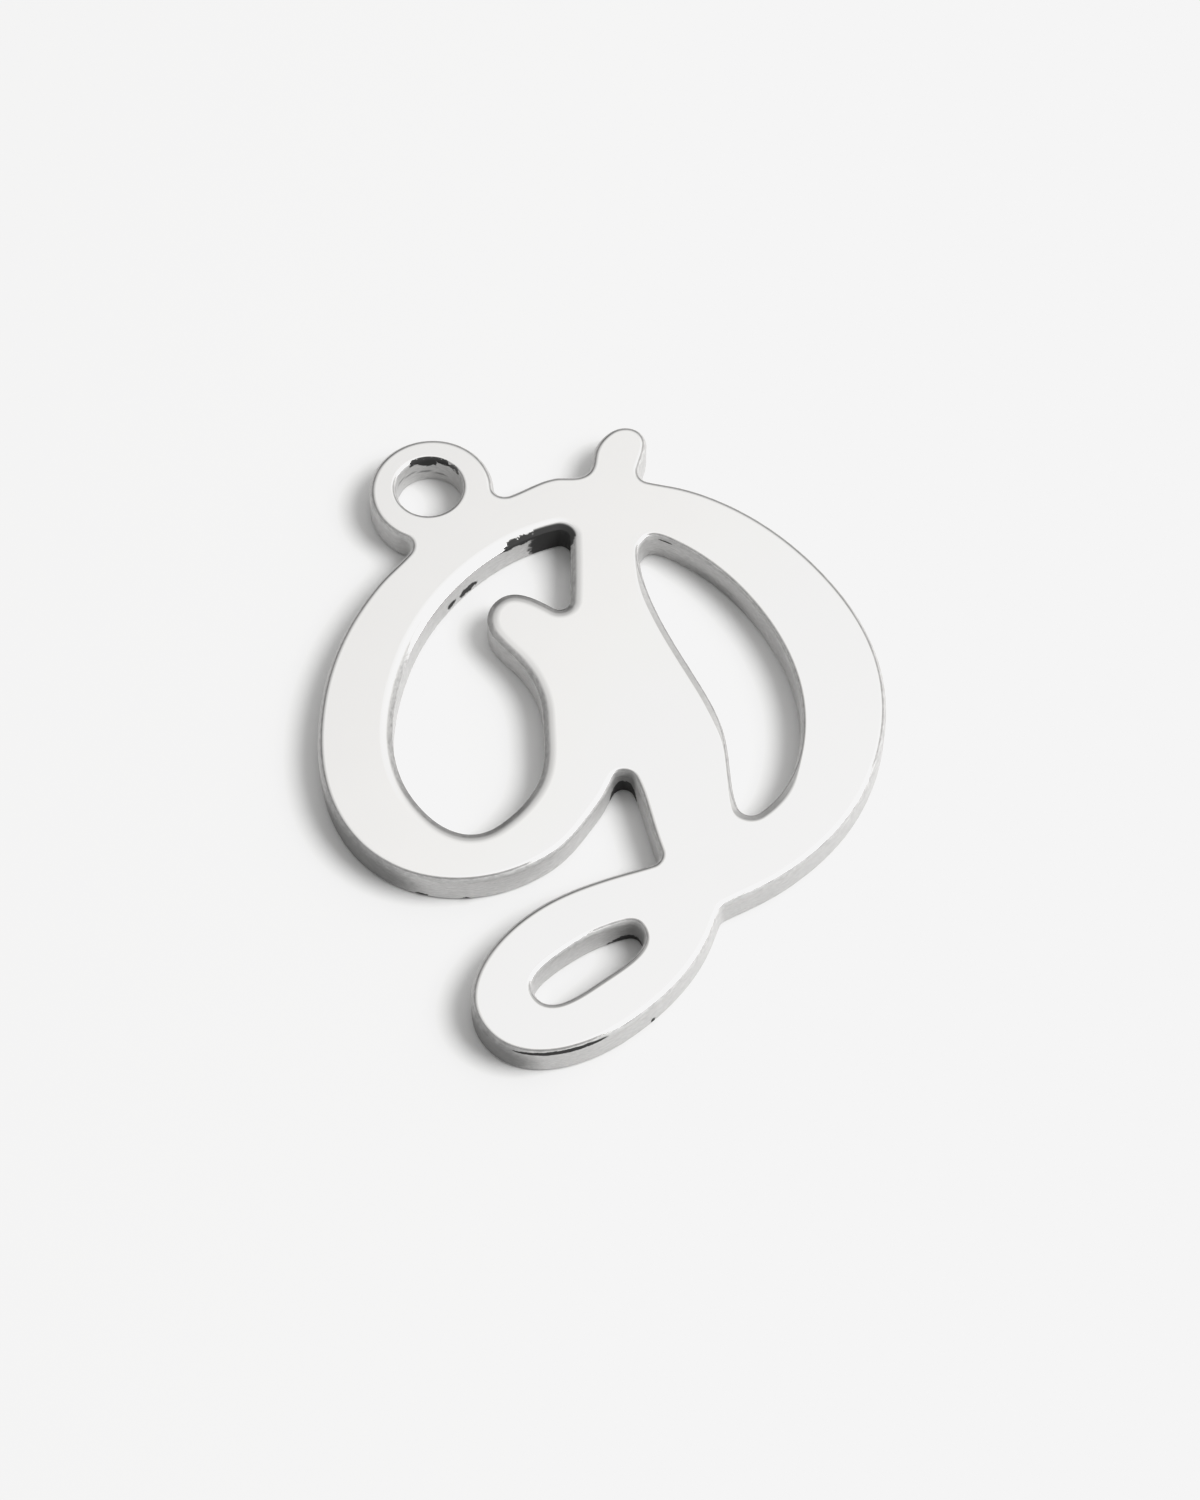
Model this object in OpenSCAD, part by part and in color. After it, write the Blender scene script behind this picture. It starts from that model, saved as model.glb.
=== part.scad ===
// Initial pendant: a script capital letter and its eyelet, cut as one piece from flat sheet.
// It lies on its back: x runs across the letter, y up the letter, z out of the polished face.
// The origin is on the axis of the eyelet's hole, on the back face.

/* [Letter] */
// Width from the left end of the foot loop to the belly of the right bowl
letter_w = 17; // [14:0.5:20]
// Height from the foot of the loop to the top of the stem's nub
letter_h = 16.3; // [14:0.1:20]
// Thickness of the sheet
plate_t = 1.1; // [0.8:0.1:2]
// Radius left in the tight inside corners
crotch_r = 0.32; // [0.2:0.02:0.4]
// Radius of the tumbled edges
edge_r = 0.25; // [0.1:0.05:0.3]

/* [Eyelet] */
// Outer radius of the eyelet
eyelet_r = 1.88; // [1.6:0.02:2]
// Radius of the hole for a jump ring
bore_r = 1; // [0.7:0.05:1.2]
// Height of the hole's centre above the eyelet's centre
bore_rise = 0.13; // [0:0.01:0.2]
// Width of the bevel round each end of the hole
bore_bevel = 0.12; // [0.05:0.01:0.2]

/* [Hidden] */
// Turn of the outline from one facet to the next, in degrees
facet_turn = 6;
// Turn of the tumbled edge from one facet to the next, in degrees
edge_turn = 45;

eyelet_x = 0.0535 * letter_w;
eyelet_y = 1.092 * letter_h;

// Rows run clockwise: x as a share of the width, y as a share of the height, then the
// heading on arrival and on leaving, in degrees from the x axis. Where the two differ, the
// row is a corner, which crotch_r rounds.
OUTLINE = [
    [0.2425, 0.9805, -22, -22],
    [0.293, 0.952, 0, 0],
    [0.333, 0.9815, 38, 38],
    [0.384, 1, 0, 0],
    [0.4265, 0.96, -90, -90],
    [0.361, 0.884, -140, -50],
    [0.424, 0.803, -57, -57],
    [0.502, 0.505, -90, -90],
    [0.468, 0.315, -113, -113],
    [0.264, 0.102, -156, -156],
    [0.087, 0.066, -180, -180],
    [-0.047, 0.083, -190, -146],
    [-0.12, 0.037, -155, -155],
    [-0.299, 0, -180, -180],
    [-0.5, 0.141, -270, -270],
    [-0.302, 0.277, -360, -360],
    [-0.0725, 0.218, -379, -287],
    [-0.0055, 0.4245, -284, -149],
    [-0.131, 0.3615, -161, -161],
    [-0.213, 0.3445, -180, -180],
    [-0.466, 0.589, -270, -270],
    [-0.339, 0.858, -315, -315],
    [-0.171, 0.973, -338, -338],
];

// Right counter, in the same columns
MOON = [
    [0.293, 0.768, 10, 10],
    [0.327, 0.734, -66, -66],
    [0.361, 0.558, -90, -90],
    [0.287, 0.3, -127, -127],
    [0.116, 0.193, -180, -180],
    [0.093, 0.226, -290, -290],
    [0.1625, 0.357, -294, -294],
    [0.201, 0.534, -280, -280],
    [0.234, 0.681, -290, -290],
    [0.268, 0.753, -307, -307],
];

// Left counter, with the ball of the hook standing into it
EYE = [
    [-0.337, 0.572, 90, 90],
    [-0.189, 0.818, 37, 37],
    [0.068, 0.907, 0, 0],
    [0.205, 0.875, -22, -127],
    [0.093, 0.719, -127, -249],
    [0.018, 0.828, -180, -180],
    [-0.038, 0.767, -90, -90],
    [-0.033, 0.69, -90, -90],
    [-0.067, 0.577, -125, -125],
    [-0.155, 0.473, -152, -152],
    [-0.2535, 0.449, -180, -180],
    [-0.3122, 0.4776, -232, -232],
];

// Counter of the foot loop
LOOP = [
    [-0.3925, 0.138, 90, 90],
    [-0.3, 0.1785, 0, 0],
    [-0.195, 0.1585, -22, -22],
    [-0.179, 0.14, -90, -90],
    [-0.295, 0.097, -180, -180],
];

function bearing(a) = [cos(a), sin(a)];

// Share of the chord that a curve follows its end heading, from the turn at each end
function pull(a, b) =
    (2 + sqrt(2) * (sin(a) - sin(b) / 16) * (sin(b) - sin(a) / 16) * (cos(a) - cos(b)))
    / (3 + 1.5 * (sqrt(5) - 1) * cos(a) + 1.5 * (3 - sqrt(5)) * cos(b));

// Points of a smooth curve from p to q, without q, between two headings
function stretch(p, q, leave, arrive) =
    let (
        chord = q - p,
        lean = atan2(chord[1], chord[0]),
        a = leave - lean,
        b = lean - arrive,
        p1 = p + norm(chord) * pull(a, b) * bearing(leave),
        q1 = q - norm(chord) * pull(b, a) * bearing(arrive),
        bend = acos(bearing(leave) * chord / norm(chord)) + acos(bearing(arrive) * chord / norm(chord)),
        n = max(2, ceil(bend / facet_turn))
    )
    [for (i = [0:n - 1]) let (t = i / n, s = 1 - t)
        s * s * s * p + 3 * s * s * t * p1 + 3 * s * t * t * q1 + t * t * t * q];

function spot(row) = [row[0], row[1]];

// Length that a corner's rounding takes from each side of it
function setback(row) = crotch_r * tan(abs(row[3] - row[2]) / 2);
function entry(row) = spot(row) - setback(row) * bearing(row[2]);
function exit(row) = spot(row) + setback(row) * bearing(row[3]);

function closed_curve(rows) =
    [for (i = [0:len(rows) - 1]) let (a = rows[i], b = rows[(i + 1) % len(rows)])
        each concat(
            a[2] == a[3] ? [] : stretch(entry(a), exit(a), a[2], a[3]),
            stretch(exit(a), entry(b), a[3], b[2]))];

function placed(rows) = [for (r = rows) [r[0] * letter_w, r[1] * letter_h, r[2], r[3]]];

// The eyelet's circle runs into the letter over a small radius at each foot
left_foot = 1.0065 * letter_h;
right_foot = 0.998 * letter_h;
reach = eyelet_r + crotch_r;
function foot_angle(y) = asin((y + crotch_r - eyelet_y) / reach);
left_turn = 180 - foot_angle(left_foot);
right_turn = foot_angle(right_foot);
EYELET = [
    [eyelet_x + reach * cos(left_turn), left_foot, 11, 11],
    for (a = [left_turn, 180, 135, 90, 45, 0, right_turn])
        [eyelet_x + eyelet_r * cos(a), eyelet_y + eyelet_r * sin(a), a - 90, a - 90],
    [eyelet_x + reach * cos(right_turn), right_foot, -11, -11],
];

outer_edge = closed_curve(concat(placed(OUTLINE), EYELET));
counters = [for (rows = [MOON, EYE, LOOP]) closed_curve(placed(rows))];

// Closed curve moved sideways, to the right of its run where d is positive
function shifted(loop, d) =
    [for (i = [0:len(loop) - 1]) let (
        before = loop[i] - loop[(i + len(loop) - 1) % len(loop)],
        after = loop[(i + 1) % len(loop)] - loop[i],
        along = before / norm(before) + after / norm(after))
        loop[i] + d * [along[1], -along[0]] / norm(along)];

// Section of the rim that follows each edge: distance into the metal, and height
rim_section = concat(
    [for (a = [90:-edge_turn:0]) edge_r * [1 - cos(a), 1 - sin(a)]],
    [for (a = [0:edge_turn:90]) [edge_r * (1 - cos(a)), plate_t - edge_r * (1 - sin(a))]],
    [[2 * edge_r, plate_t / 2]]);

// Rim along an edge that has the metal on its right (side 1) or on its left (side -1)
module rim(loop, side) {
    n = len(loop);
    m = len(rim_section);
    function at(i, j) = (j % m) * n + i % n;
    polyhedron(
        points = [for (s = rim_section) for (p = shifted(loop, side * s[0])) [p[0], p[1], s[1]]],
        faces = [for (j = [0:m - 1], i = [0:n - 1])
            let (a = at(i, j), b = at(i + 1, j), c = at(i + 1, j + 1), d = at(i, j + 1))
            each side > 0 ? [[a, b, c], [a, c, d]] : [[c, b, a], [d, c, a]]]);
}

module eyelet_bore() {
    translate([eyelet_x, eyelet_y + bore_rise, 0]) {
        translate([0, 0, -1]) cylinder(r = bore_r, h = plate_t + 2);
        translate([0, 0, -bore_bevel]) cylinder(r1 = bore_r + 2 * bore_bevel, r2 = bore_r, h = 2 * bore_bevel);
        translate([0, 0, plate_t - bore_bevel])
            cylinder(r1 = bore_r, r2 = bore_r + 2 * bore_bevel, h = 2 * bore_bevel);
    }
}

module letter_plate() {
    color("silver") translate([-eyelet_x, -eyelet_y - bore_rise, 0]) difference() {
        union() {
            linear_extrude(plate_t) difference() {
                polygon(shifted(outer_edge, edge_r));
                for (loop = counters) polygon(shifted(loop, -edge_r));
            }
            rim(outer_edge, 1);
            for (loop = counters) rim(loop, -1);
        }
        eyelet_bore();
    }
}

letter_plate();
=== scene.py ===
"""Looks of the initial pendant: one polished plate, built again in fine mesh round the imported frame.

Lengths in the tables are in millimetres, and MM turns them into metres. The frame is the CAD's: x across
the letter, y up the letter, z out of the polished face, origin on the axis of the eyelet's hole on the back
face.
"""
import math

import bmesh
import bpy
import numpy as np
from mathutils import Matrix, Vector
from mathutils.geometry import delaunay_2d_cdt


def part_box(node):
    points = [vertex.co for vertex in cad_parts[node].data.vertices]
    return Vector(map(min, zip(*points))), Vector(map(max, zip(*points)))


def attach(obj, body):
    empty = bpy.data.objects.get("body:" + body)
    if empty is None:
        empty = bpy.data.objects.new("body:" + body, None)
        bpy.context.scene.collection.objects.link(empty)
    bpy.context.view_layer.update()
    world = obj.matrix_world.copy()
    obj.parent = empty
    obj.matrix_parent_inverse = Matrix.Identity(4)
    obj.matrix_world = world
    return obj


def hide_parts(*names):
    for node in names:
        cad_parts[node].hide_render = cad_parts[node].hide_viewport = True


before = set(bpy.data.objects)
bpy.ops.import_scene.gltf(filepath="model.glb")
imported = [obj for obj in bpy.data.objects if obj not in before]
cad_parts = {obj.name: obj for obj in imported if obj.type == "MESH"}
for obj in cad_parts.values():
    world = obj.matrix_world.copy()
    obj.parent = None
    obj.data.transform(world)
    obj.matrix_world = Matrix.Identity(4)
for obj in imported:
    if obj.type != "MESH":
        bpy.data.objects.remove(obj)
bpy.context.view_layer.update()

MM = 0.001
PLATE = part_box("letter_plate")
THICK = PLATE[1].z / MM

# Sections of the closed edges, largest edge first: radius at the back, radius and turn in degrees of the arc
# by which the face rolls off, width of the flat bevel below it, and radius of the corner between that bevel
# and the wall
EDGE_COLUMNS = ("back", "roll", "turn", "flat", "corner")
EDGES = [
    (0.12, 0.21, 74, 0.01, 0.02),     # outline
    (0.12, 0.72, 31, 0.01, 0.02),     # left counter
    (0.12, 0.10, 18, 0.01, 0.16),     # right counter
    (0.12, 0.10, 18, 0.01, 0.18),     # foot loop's counter
    (0.08, 0.16, 60, 0.01, 0.03),     # eyelet's hole
]
# The right counter and the foot loop's counter have a wide flat bevel on the left side and lower end, where
# the edge faces within BEVEL_TURN degrees of BEVEL_WAY. The bevel narrows over BEVEL_FADE points to each side
# of its ends.
BEVELS = {
    2: (0.12, 0.30, 18, 0.16, 0.09),     # right counter
    3: (0.12, 0.20, 18, 0.05, 0.14),     # foot loop's counter
}
BEVEL_WAY = (0.669, 0.743)
BEVEL_TURN = 71
BEVEL_FADE = 8

STEP = 0.11             # longest stretch of an edge between two points
STRAIGHT = 2e-4         # a point closer than this to the line between its neighbours adds nothing
WELD = 1e-7             # metres between two vertices that are one
FEWEST_POINTS = 8       # a loop needs more points than this to be an edge of the plate
BACK_ROWS, WALL_ROWS, CORNER_ROWS, ROLL_ROWS = 6, 3, 5, 10

# Outline of the plate, from the CAD solid


def mid_height_loops(node):
    """The closed edges of the plate at half its thickness, as arrays of points in mm, metal on the left."""
    bm = bmesh.new()
    bm.from_mesh(node.data)
    bmesh.ops.remove_doubles(bm, verts=bm.verts, dist=WELD)
    bmesh.ops.bisect_plane(
        bm, geom=bm.verts[:] + bm.edges[:] + bm.faces[:],
        plane_co=(0, 0, THICK * MM / 2), plane_no=(0, 0, 1), clear_inner=True, clear_outer=True)
    loops, left = [], set(bm.verts)
    while left:
        start = vert = min(left, key=lambda v: (v.co.x, v.co.y))
        loop, last = [], None
        while vert in left:
            left.discard(vert)
            loop.append((vert.co.x / MM, vert.co.y / MM))
            ahead = [e for e in vert.link_edges if e is not last]
            last = ahead[0]
            vert = last.other_vert(vert)
        if vert is start and len(loop) > FEWEST_POINTS:
            loops.append(np.array(loop))
    bm.free()
    loops.sort(key=lambda p: -abs(area(p)))
    return [p if (area(p) > 0) == (i == 0) else p[::-1] for i, p in enumerate(loops)]


def area(p):
    """Area inside a closed loop, positive where it runs anticlockwise."""
    q = np.roll(p, -1, axis=0)
    return 0.5 * float(np.sum(p[:, 0] * q[:, 1] - q[:, 0] * p[:, 1]))


def without_straight_points(p):
    """Drops the points on the line between their neighbours, which come from the facets' diagonals."""
    before = np.roll(p, 1, axis=0)
    chord = np.roll(p, -1, axis=0) - before
    way = p - before
    off = np.abs(chord[:, 0] * way[:, 1] - chord[:, 1] * way[:, 0]) / np.linalg.norm(chord, axis=1)
    return p[off > STRAIGHT]


def smooth_loop(p):
    """Closed cubic spline through the points: finer points, and the unit normals into the metal."""
    n = len(p)
    h = np.linalg.norm(np.roll(p, -1, axis=0) - p, axis=1)
    before = np.roll(h, 1)
    lhs = np.zeros((n, n))
    i = np.arange(n)
    lhs[i, i] = 2 * (h + before)
    lhs[i, (i + 1) % n] += h
    lhs[i, (i - 1) % n] += before
    slope = (np.roll(p, -1, axis=0) - p) / h[:, None]
    bend = np.linalg.solve(lhs, 6 * (slope - np.roll(slope, 1, axis=0)))
    bend_next, p_next = np.roll(bend, -1, axis=0), np.roll(p, -1, axis=0)
    points, runs = [], []
    for k in range(n):
        for t in np.arange(0, 1, 1 / max(1, math.ceil(h[k] / STEP))):
            a, b = 1 - t, t
            points.append(a * p[k] + b * p_next[k]
                          + h[k] ** 2 / 6 * ((a ** 3 - a) * bend[k] + (b ** 3 - b) * bend_next[k]))
            runs.append(slope[k] + h[k] / 6 * ((1 - 3 * a * a) * bend[k] + (3 * b * b - 1) * bend_next[k]))
    points, runs = np.array(points), np.array(runs)
    runs /= np.linalg.norm(runs, axis=1)[:, None]
    return points, np.stack([-runs[:, 1], runs[:, 0]], axis=1)


# Section of the edge


def edge_section(back, roll, turn, flat, corner):
    """Rows from the back face up the wall to the front face: inset into the metal, height, and tilt of the
    normal from level in degrees. The columns are explained at EDGE_COLUMNS."""
    lean = math.radians(90 - turn)
    corner_in, corner_drop = corner * (1 - math.cos(lean)), corner * math.sin(lean)
    roll_in = corner_in + flat * math.sin(lean) + roll * math.cos(lean)
    top = THICK - roll * (1 - math.sin(lean)) - flat * math.cos(lean) - corner_drop
    rows = [(back * (1 - math.cos(a)), back * (1 - math.sin(a)), -math.degrees(a))
            for a in np.linspace(math.pi / 2, 0, BACK_ROWS)]
    rows += [(0, back + (top - back) * k / (WALL_ROWS + 1), 0) for k in range(1, WALL_ROWS + 1)]
    rows += [(corner * (1 - math.cos(a)), top + corner * math.sin(a), math.degrees(a))
             for a in np.linspace(0, lean, CORNER_ROWS)]
    rows += [(roll_in - roll * math.cos(a), THICK - roll * (1 - math.sin(a)), math.degrees(a))
             for a in np.linspace(lean, math.pi / 2, ROLL_ROWS)]
    return np.array(rows)


def edge_rows(k, inward):
    """Section rows of closed edge k at each of its points. inward holds the unit normals into the metal."""
    section = edge_section(**dict(zip(EDGE_COLUMNS, EDGES[k])))
    if k not in BEVELS:
        return np.repeat(section[None], len(inward), axis=0)
    bevel = edge_section(**dict(zip(EDGE_COLUMNS, BEVELS[k])))
    share = (-inward @ np.array(BEVEL_WAY) > math.cos(math.radians(BEVEL_TURN))).astype(float)
    around = range(-BEVEL_FADE // 2, BEVEL_FADE // 2 + 1)
    for _ in range(2):
        share = np.mean([np.roll(share, i) for i in around], axis=0)
    return section + share[:, None, None] * (bevel - section)


def inside(points, loops):
    """Which points lie in the metal, by counting the edges to their right."""
    odd = np.zeros(len(points), bool)
    for p in loops:
        q = np.roll(p, -1, axis=0)
        for a, b in zip(p, q):
            if a[1] != b[1]:
                spans = (a[1] > points[:, 1]) != (b[1] > points[:, 1])
                crossing = (b[0] - a[0]) * (points[:, 1] - a[1]) / (b[1] - a[1]) + a[0]
                odd ^= spans & (points[:, 0] < crossing)
    return odd


def flat_face(rings):
    """Triangles between the closed rings, as indexes into the rings' points, one ring after another."""
    points = np.concatenate(rings)
    edges, first = [], 0
    for ring in rings:
        edges += [(first + i, first + (i + 1) % len(ring)) for i in range(len(ring))]
        first += len(ring)
    coords, _, faces, origin, _, _ = delaunay_2d_cdt([Vector(p) for p in points], edges, [], 0, WELD)
    if len(coords) != len(points):
        raise ValueError("the rings of a flat face cross each other")
    faces = np.array([[origin[i][0] for i in f] for f in faces])
    keep = inside(points[faces].mean(axis=1), rings)
    return faces[keep]


# The piece


def build_plate():
    """The plate's walls and rolled edges along every loop, and the two flat faces between them."""
    verts, normals, faces, tilts = [], [], [], []
    top_rings, bottom_rings, top_ids, bottom_ids = [], [], [], []
    for k, loop in enumerate(mid_height_loops(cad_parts["letter_plate"])):
        points, inward = smooth_loop(without_straight_points(loop))
        rows = edge_rows(k, inward)
        n, start, steps = len(points), len(verts), rows.shape[1]
        for j in range(steps):
            inset, z, tilt = rows[:, j, :1], rows[:, j, 1:2], rows[:, j, 2:]
            lean = np.radians(tilt)
            verts += np.hstack([points + inset * inward, z]).tolist()
            normals += np.hstack([-inward * np.cos(lean), np.sin(lean)]).tolist()
            tilts += np.abs(tilt[:, 0]).tolist()
        for j in range(steps - 1):
            for i in range(n):
                a, b = start + j * n + i, start + j * n + (i + 1) % n
                faces.append((a, b, b + n, a + n))
        bottom_rings.append(points + rows[:, 0, :1] * inward)
        top_rings.append(points + rows[:, -1, :1] * inward)
        bottom_ids += range(start, start + n)
        top_ids += range(start + (steps - 1) * n, start + steps * n)
    for tri in flat_face(top_rings):
        faces.append(tuple(top_ids[i] for i in tri))
    for tri in flat_face(bottom_rings):
        faces.append(tuple(bottom_ids[i] for i in reversed(tri)))
    mesh = bpy.data.meshes.new("pendant_letter")
    mesh.from_pydata([Vector(v) * MM for v in verts], [], faces)
    mesh.polygons.foreach_set("use_smooth", [True] * len(mesh.polygons))
    mesh.normals_split_custom_set_from_vertices(normals)
    mesh.attributes.new("tilt", "FLOAT", "POINT").data.foreach_set("value", tilts)
    mesh.validate()
    obj = bpy.data.objects.new("pendant_letter", mesh)
    bpy.context.scene.collection.objects.link(obj)
    return obj


# Node helpers


class Nodes:
    """Short ways to make and link the shader nodes of a material or a world."""

    def __init__(self, owner):
        owner.use_nodes = True
        self.tree = owner.node_tree
        self.tree.nodes.clear()

    def add(self, kind, inputs=(), out=0, **settings):
        node = self.tree.nodes.new("ShaderNode" + kind)
        for name, value in settings.items():
            setattr(node, name, value)
        for key, value in dict(inputs).items():
            socket = node.inputs[key]
            if isinstance(value, bpy.types.NodeSocket):
                self.tree.links.new(value, socket)
            else:
                socket.default_value = value
        return node.outputs[out] if node.outputs else None

    def math(self, operation, a, b=0.0, c=0.0, clamp=False):
        return self.add("Math", {0: a, 1: b, 2: c}, operation=operation, use_clamp=clamp)

    def vector(self, operation, a, b=(0, 0, 0)):
        out = "Value" if operation in ("DOT_PRODUCT", "LENGTH") else "Vector"
        return self.add("VectorMath", {0: a, 1: b}, out, operation=operation)

    def ramp(self, value, lo, hi, to_lo=0.0, to_hi=1.0):
        """Smooth step from to_lo where value is lo to to_hi where it is hi."""
        ends = {"Value": value, "From Min": lo, "From Max": hi, "To Min": to_lo, "To Max": to_hi}
        return self.add("MapRange", ends, interpolation_type="SMOOTHSTEP")

    def around(self, value, middle, spread):
        """Noise that runs about a half, moved to run about middle, with spread times its reach."""
        return self.math("MULTIPLY_ADD", self.math("SUBTRACT", value, 0.5), spread, middle)

    def millimetres(self):
        """The place in the piece's own space, in mm."""
        return self.vector("MULTIPLY", self.add("TexCoord", out="Object"), (1 / MM, 1 / MM, 1 / MM))

    def noise(self, vector, scale, detail, rough, out=0):
        settings = {"Vector": vector, "Scale": scale, "Detail": detail, "Roughness": rough}
        return self.add("TexNoise", settings, out)

    def mix(self, share, a, b):
        return self.add("Mix", {"Factor": share, "A": a, "B": b}, data_type="FLOAT")

    def tint(self, tone, green, blue):
        """Colour of a tone, with its green and blue as shares of its red."""
        share = [tone] + [self.math("MULTIPLY", tone, s) for s in (green, blue)]
        return self.add("CombineColor", dict(enumerate(share)))


# Dark marks on the walls. Most are painted shade: in the left counter's upper corner, contact shadows at the
# feet of walls, in the notch and the foot loop's counter, and on the outer wall's left side, which faces away
# from the light; a thin painted dark reflection runs along the foot loop's front edge. The rest are dark
# patches in the eyelet's hole, on the left counter's upper wall and at the right counter's upper corner.
# Columns: centre, heading of the long side in degrees, half its length, half its width across, half its
# height, how dark it is, how far its rim strays, and share of its size that is as dark as that
MARK_COLUMNS = ("x", "y", "z", "heading", "length", "across", "height", "strength", "ragged", "core")
MARKS = [
    (2.10, -3.60, 0.45, -15, 0.86, 0.75, 1.12, 1.0, 0.45, 0.9),      # left counter, upper corner: painted shade and dark reflection filling the concave corner
    (1.04, -3.22, 0.98, 2, 0.76, 0.30, 0.14, 1.0, 0.50, 0.9),
    (-0.92, -3.25, 0.32, 10, 0.42, 0.30, 0.16, 1.0, 0.40, 0.9),      # left counter, upper wall
    (-1.65, -3.39, 0.34, 14, 0.22, 0.30, 0.12, 1.0, 0.40, 0.9),
    (0.24, 0.97, 1.02, -14, 0.27, 0.30, 0.11, 1.0, 0.45, 0.9),       # eyelet's hole, along its upper rim
    (0.55, 0.86, 0.94, -33, 0.30, 0.30, 0.19, 1.0, 0.50, 0.9),
    (0.84, 0.56, 1.03, -57, 0.34, 0.30, 0.09, 1.0, 0.40, 0.9),
    (0.99, 0.12, 1.02, -82, 0.26, 0.30, 0.08, 0.9, 0.50, 0.9),
    (-0.42, 0.91, 0.66, 25, 0.32, 0.30, 0.07, 0.5, 0.12, 0.2),       # eyelet's hole, along its ridge
    (0.00, 1.00, 0.57, 0, 0.32, 0.30, 0.07, 0.5, 0.12, 0.2),
    (0.47, 0.88, 0.47, -28, 0.32, 0.30, 0.07, 0.6, 0.12, 0.2),
    (0.82, 0.57, 0.38, -55, 0.32, 0.30, 0.07, 0.6, 0.12, 0.2),
    (-8.00, -10.68, 0.11, -53, 0.20, 0.30, 0.08, 1.0, 0.30, 0.9),    # painted contact shadow at the foot of the outer wall
    (-7.08, -11.53, 0.05, -34, 0.20, 0.30, 0.08, 1.0, 0.30, 0.9),
    (-5.16, -17.88, 0.16, 5, 0.09, 0.30, 0.12, 1.0, 0.30, 0.9),
    (-8.80, -8.80, 0.45, 90, 3.60, 1.20, 0.95, 0.65, 0.50, 0.4),     # painted shade on the outer wall's left side, away from the light
    (-9.30, -15.90, 0.45, 90, 2.00, 1.20, 0.95, 0.65, 0.50, 0.4),
    (-7.95, -17.40, 1.00, -38, 1.50, 0.80, 0.05, 1.0, 0.06, 0.9),    # painted dark reflection along the foot loop's front edge
    (4.69, -5.70, 0.94, -75, 0.30, 0.30, 0.04, 1.0, 0.10, 0.9),      # right counter, upper corner
    (4.95, -7.40, 0.05, -72, 2.70, 1.20, 0.70, 0.5, 0.30, 0.2),      # painted shadow at the foot of its right wall
    (-1.32, -11.45, 0.10, 55, 0.55, 0.60, 0.55, 1.0, 0.40, 0.9),     # painted shade in the notch
    (-1.32, -11.45, 0.70, 55, 0.55, 0.60, 0.80, 0.6, 0.20, 0.5),
    (-4.20, -15.42, 0.02, -30, 0.62, 0.60, 0.32, 1.0, 0.50, 0.9),    # painted shade in the foot loop's counter
    (-3.90, -15.60, 0.45, -30, 1.30, 0.90, 1.00, 0.5, 0.40, 0.2),
]
MARK_RIM = 1.05     # share of a mark's size at which it fades out


def stains_and_painted_shade(n, place):
    """Strength of the dark marks at each point, mostly painted shade and some dark patches, with ragged rims.
    """
    wander = n.noise(place, scale=5.0, detail=5, rough=0.75, out="Color")
    wander = n.vector("SUBTRACT", wander, (0.5, 0.5, 0.5))
    total = None
    for row in MARKS:
        m = dict(zip(MARK_COLUMNS, row))
        local = n.add("Mapping", {
            "Vector": n.vector("ADD", place, n.vector("MULTIPLY", wander, (m["ragged"],) * 3)),
            "Location": (m["x"], m["y"], m["z"]),
            "Rotation": (0, 0, math.radians(m["heading"])),
            "Scale": (m["length"], m["across"], m["height"])}, vector_type="TEXTURE")
        mark = n.math("MULTIPLY", n.ramp(n.vector("LENGTH", local), MARK_RIM, m["core"]), m["strength"])
        total = mark if total is None else n.math("MAXIMUM", total, mark)
    return total


# Tilts of the surface in degrees, 90 on the face and 0 on the wall, at which a look starts and is full
CUT_TONE_TILTS = (76, 68)
WALL_TILTS = (62, 50)
SHADE_AND_STAIN_TILTS = (80, 70)

# The walls' mottling is finer up the wall than along it
MOTTLE_SQUEEZE = (1, 1, 5)

# Reflectance of the polished face, the cut walls and the dark marks (mostly painted shade), and how far noise
# moves the first two
FACE_TONE, FACE_CLOUDS = 0.93, 0.03
CUT_TONE, CUT_MOTTLE = 0.56, 0.60
SHADE_AND_STAIN_TONE = 0.035
METAL_TINT = (0.993, 0.985)

# Roughness of the face and its fine grain, of the walls' mottling, and of the dark marks (mostly painted
# shade)
FACE_ROUGH, GRAIN_ROUGH = 0.14, 0.08
MOTTLE_ROUGH = 0.55
SHADE_AND_STAIN_ROUGH = 0.7
WALL_DULLING = 0.6      # share of its metallic look that a cut wall loses

# Relief of the walls' mottling and of the grain, as shares of the bump's depth in mm
MOTTLE_RELIEF, GRAIN_RELIEF = 0.6, 0.02
BUMP_DEPTH, BUMP_STRENGTH = 0.02, 0.25


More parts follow.
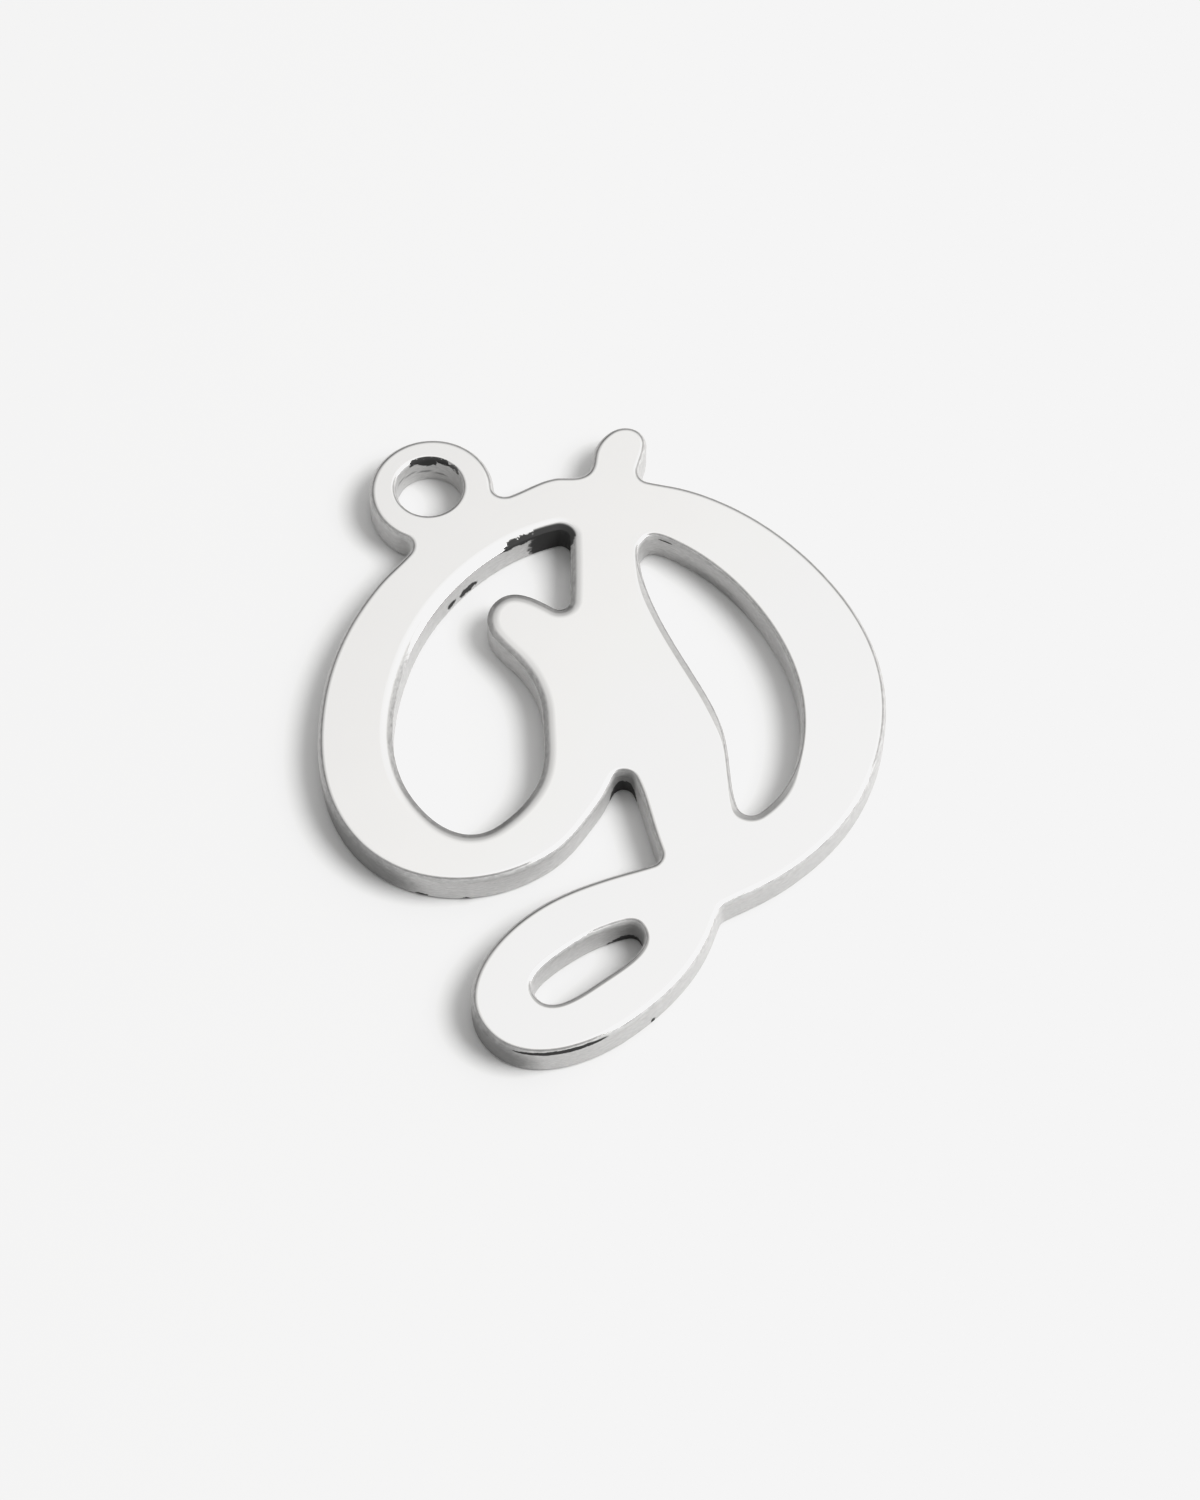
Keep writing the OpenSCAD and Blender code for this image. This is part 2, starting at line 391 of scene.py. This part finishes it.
def metal():
    """Polished face that turns into a rougher, streaked cut wall by the tilt of the surface, with dark marks
    that are mostly painted shade.
    """
    material = bpy.data.materials.new("polished_steel")
    n = Nodes(material)
    place = n.millimetres()
    tilt = n.add("Attribute", out="Fac", attribute_name="tilt")
    wall = n.ramp(tilt, *WALL_TILTS)
    cloud = n.noise(place, scale=0.35, detail=4, rough=0.5)
    grain = n.noise(place, scale=40.0, detail=3, rough=0.6)
    mottle = n.noise(n.vector("MULTIPLY", place, MOTTLE_SQUEEZE), scale=5.0, detail=5, rough=0.7)
    wall_mottle = n.math("MULTIPLY", mottle, wall)
    # The marks darken the walls: mostly painted shade in corners, recesses, at the walls' feet and on the
    # side away from the light, with some dark patches.
    dark = n.math("MULTIPLY", stains_and_painted_shade(n, place), n.ramp(tilt, *SHADE_AND_STAIN_TILTS))
    face_tone = n.around(cloud, FACE_TONE, FACE_CLOUDS)
    cut_tone = n.around(mottle, CUT_TONE, CUT_MOTTLE)
    tone = n.mix(n.ramp(tilt, *CUT_TONE_TILTS), face_tone, cut_tone)
    tone = n.mix(dark, tone, SHADE_AND_STAIN_TONE)
    rough = n.math("MULTIPLY_ADD", wall_mottle, MOTTLE_ROUGH, n.around(grain, FACE_ROUGH, GRAIN_ROUGH))
    rough = n.mix(dark, rough, SHADE_AND_STAIN_ROUGH)
    clean = n.math("SUBTRACT", 1.0, dark)
    metallic = n.math("MULTIPLY", clean, n.math("MULTIPLY_ADD", wall, -WALL_DULLING, 1.0))
    height = n.math("MULTIPLY_ADD", wall_mottle, MOTTLE_RELIEF, n.math("MULTIPLY", grain, GRAIN_RELIEF))
    bump = n.add("Bump", {"Strength": BUMP_STRENGTH, "Distance": BUMP_DEPTH * MM, "Height": height})
    shader = n.add("BsdfPrincipled", {
        "Base Color": n.tint(tone, *METAL_TINT), "Metallic": metallic, "Roughness": rough, "Normal": bump,
        "Specular IOR Level": 0.2})
    n.add("OutputMaterial", {"Surface": shader})
    return material


FLOOR_TONE, FLOOR_GRAIN = 0.8, 0.01
FLOOR_TINT = (1, 0.998)
FLOOR_ROUGH = 0.9


def floor_material():
    material = bpy.data.materials.new("pale_board")
    n = Nodes(material)
    grain = n.noise(n.millimetres(), scale=6.0, detail=5, rough=0.6)
    tone = n.around(grain, FLOOR_TONE, FLOOR_GRAIN)
    shader = n.add("BsdfPrincipled", {
        "Base Color": n.tint(tone, *FLOOR_TINT), "Roughness": FLOOR_ROUGH, "Specular IOR Level": 0.1})
    n.add("OutputMaterial", {"Surface": shader})
    return material


# The stage

RIGHT = Vector((0.7986, -0.6018, 0))      # to the right in the picture
AWAY = Vector((0.6018, 0.7986, 0))        # up in the picture, along the floor
UP = Vector((0, 0, 1))
TARGET = Vector((-1.4295, -10.4596, 1.2)) * MM
DISTANCE = 115.77 * MM
ELEVATION = 60
LENS, SENSOR = 96, 36           # mm, the lens's length and the sensor's longer side
NEAREST, FURTHEST = 0.005, 10   # metres that the camera sees
LIGHT_DISTANCE = 0.6            # metres from the pendant to a lamp
FLOOR_HALF = 0.6                # metres from the floor's middle to its sides
FLOOR_DROP = 0.004              # mm from the plate's back to the floor


def toward(azimuth, elevation):
    """Direction in the picture's terms: azimuth from away towards the right, and elevation, in degrees."""
    a, e = math.radians(azimuth), math.radians(elevation)
    return (math.cos(e) * (math.cos(a) * AWAY + math.sin(a) * RIGHT) + math.sin(e) * UP).normalized()


def make_camera():
    data = bpy.data.cameras.new("camera")
    data.lens, data.sensor_width = LENS, SENSOR
    data.clip_start, data.clip_end = NEAREST, FURTHEST
    camera = bpy.data.objects.new("camera", data)
    back = toward(180, ELEVATION)
    camera.location = TARGET + DISTANCE * back
    camera.rotation_euler = (-back).to_track_quat("-Z", "Y").to_euler()
    bpy.context.scene.collection.objects.link(camera)
    bpy.context.scene.camera = camera


def soft_light(name, azimuth, elevation, spread, radiance):
    """Round softbox, spread degrees across as seen from the pendant."""
    data = bpy.data.lights.new(name, "AREA")
    data.shape = "DISK"
    data.size = 2 * LIGHT_DISTANCE * math.tan(math.radians(spread / 2))
    data.energy = radiance * math.pi * math.pi * (data.size / 2) ** 2
    obj = bpy.data.objects.new(name, data)
    way = toward(azimuth, elevation)
    obj.location = TARGET + way * LIGHT_DISTANCE
    obj.rotation_euler = (-way).to_track_quat("-Z", "Y").to_euler()
    bpy.context.scene.collection.objects.link(obj)


def make_floor():
    corners = [(-1, -1, 0), (1, -1, 0), (1, 1, 0), (-1, 1, 0)]
    mesh = bpy.data.meshes.new("floor")
    mesh.from_pydata([Vector(c) * FLOOR_HALF for c in corners], [], [(0, 1, 2, 3)])
    floor = bpy.data.objects.new("floor", mesh)
    floor.location = (TARGET.x, TARGET.y, -FLOOR_DROP * MM)
    floor.data.materials.append(floor_material())
    bpy.context.scene.collection.objects.link(floor)


# Brightness of the sky at the horizon and overhead: in the middle, its rise towards BRIGHT_WAY and its fall
# on the opposite side
BRIGHT_WAY = toward(60, 0)
HORIZON = (0.40, 0.40, 0.10)
ZENITH = (0.93, 1.0, 0.35)
# Height where the sky is as bright as overhead, as a sine, and the power by which it climbs to there
FULL_HEIGHT, CLIMB_POWER = 0.975, 3.4
# Share of that climb that the sky on the camera's side keeps, and the cosines of the angle from straight away
# between which it changes over
NEAR_SHARE = 0.45
NEAR_COSINES = (-0.30, -0.02)
# How much darker a low patch of the far sky is, which shows in the edges that roll off away from the camera,
# and the cosines of the angle from its middle at its rim and where it is full
DIP = 0.18
DIP_WAY = toward(3, 12)
DIP_COSINES = (0.80, 0.88)
# Brightness of the ground, and the sines of the height between which it gives way to the sky
GROUND = 0.9
GROUND_SINES = (-0.05, 0.0)
SKY_COLOR = (1, 0.997, 0.99, 1)


def make_world():
    """Soft studio surroundings: a sky that grows brighter with height, over a pale ground."""
    world = bpy.data.worlds.new("studio")
    bpy.context.scene.world = world
    n = Nodes(world)
    way = n.add("TexCoord", out="Generated")
    up = n.vector("DOT_PRODUCT", way, UP)
    side = n.vector("DOT_PRODUCT", way, BRIGHT_WAY)

    def sky(middle, rise, fall):
        slope = n.math("MAXIMUM", n.math("MULTIPLY", side, rise), n.math("MULTIPLY", side, fall))
        return n.math("ADD", slope, middle)

    dip = n.ramp(n.vector("DOT_PRODUCT", way, DIP_WAY), *DIP_COSINES, 0.0, DIP)
    horizon = n.math("SUBTRACT", sky(*HORIZON), dip)
    climb = n.math("DIVIDE", n.math("MAXIMUM", up, 0.0), FULL_HEIGHT)
    climb = n.math("POWER", climb, CLIMB_POWER, clamp=True)
    far = n.ramp(n.vector("DOT_PRODUCT", way, toward(0, 0)), *NEAR_COSINES, NEAR_SHARE, 1.0)
    light = n.mix(n.math("MULTIPLY", climb, far), horizon, sky(*ZENITH))
    light = n.math("MAXIMUM", light, n.ramp(up, *GROUND_SINES, GROUND, 0.0))
    n.add("OutputWorld", {"Surface": n.add("Background", {"Color": SKY_COLOR, "Strength": light})})


WHITE_STOP = 0.913      # display tone of the brightest white
CURVE_KNEE = 0.87       # display tone up to which nothing changes
COMBINED_CURVE = 3      # the curve for all three colours at once


def set_tone_curve():
    """Whites stop at the photograph's pale grey, and darker tones stay as they are."""
    view = bpy.context.scene.view_settings
    view.view_transform = "Standard"
    view.use_curve_mapping = True
    curve = view.curve_mapping.curves[COMBINED_CURVE]
    curve.points[1].location = (1.0, WHITE_STOP)
    curve.points.new(CURVE_KNEE, CURVE_KNEE)
    for point in curve.points:
        point.handle_type = "VECTOR"
    view.curve_mapping.extend = "HORIZONTAL"
    view.curve_mapping.update()


plate = build_plate()
plate.data.materials.append(metal())
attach(plate, "root")
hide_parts("letter_plate")

make_floor()
make_world()
soft_light("key", azimuth=95, elevation=51, spread=34, radiance=9.2)
make_camera()
set_tone_curve()
